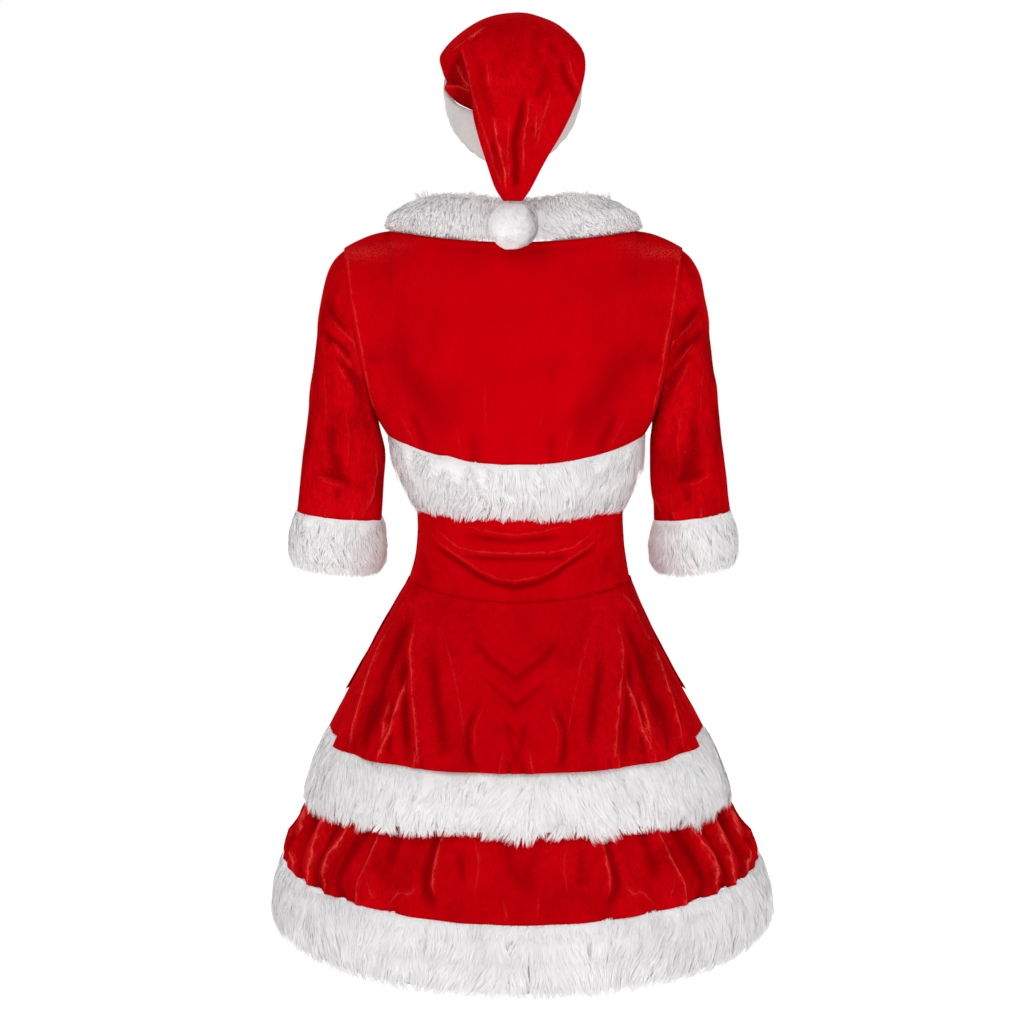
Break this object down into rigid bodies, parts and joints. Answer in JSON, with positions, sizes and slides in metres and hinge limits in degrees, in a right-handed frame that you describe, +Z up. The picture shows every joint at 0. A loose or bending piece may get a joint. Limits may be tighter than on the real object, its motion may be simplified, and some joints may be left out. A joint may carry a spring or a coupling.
{
  "type": "christmas costume set",
  "caption": "Festive velvet costume in worn form with no wearer: soft pointed hat with a pompom, cropped bolero with fur collar and cuffs, and a tiered dress with fur bands.",
  "frame": {"origin": "midway between the two shoulder points of the bolero, where the wearer's shoulders carry the set", "axes": "+Z up, +Y towards the back of the garments, +X to the wearer's left"},
  "size_m": [0.6005, 0.5266, 1.069],
  "materials": {
    "velvet": "short-pile stretch velvet with a soft sheen",
    "fur": "long-pile white faux fur, combed downwards",
    "plush": "short white plush"
  },
  "bodies": {
    "root": {"hat_crown": "velvet", "hat_band": "plush", "hat_pompom": "plush", "bolero_back": "velvet", "bolero_front_left": "velvet", "bolero_front_right": "velvet", "sleeve_left": "velvet", "sleeve_right": "velvet", "collar_fur": "fur", "bolero_hem_fur": "fur", "cuff_fur_left": "fur", "cuff_fur_right": "fur", "bodice_back": "velvet", "bodice_front": "velvet", "overskirt_back": "velvet", "overskirt_front": "velvet", "tier1_back": "velvet", "tier1_front": "velvet", "tier1_fur_back": "fur", "tier1_fur_front": "fur", "tier2_back": "velvet", "tier2_front": "velvet", "tier2_fur_back": "fur", "tier2_fur_front": "fur"}
  },
  "joints": []
}
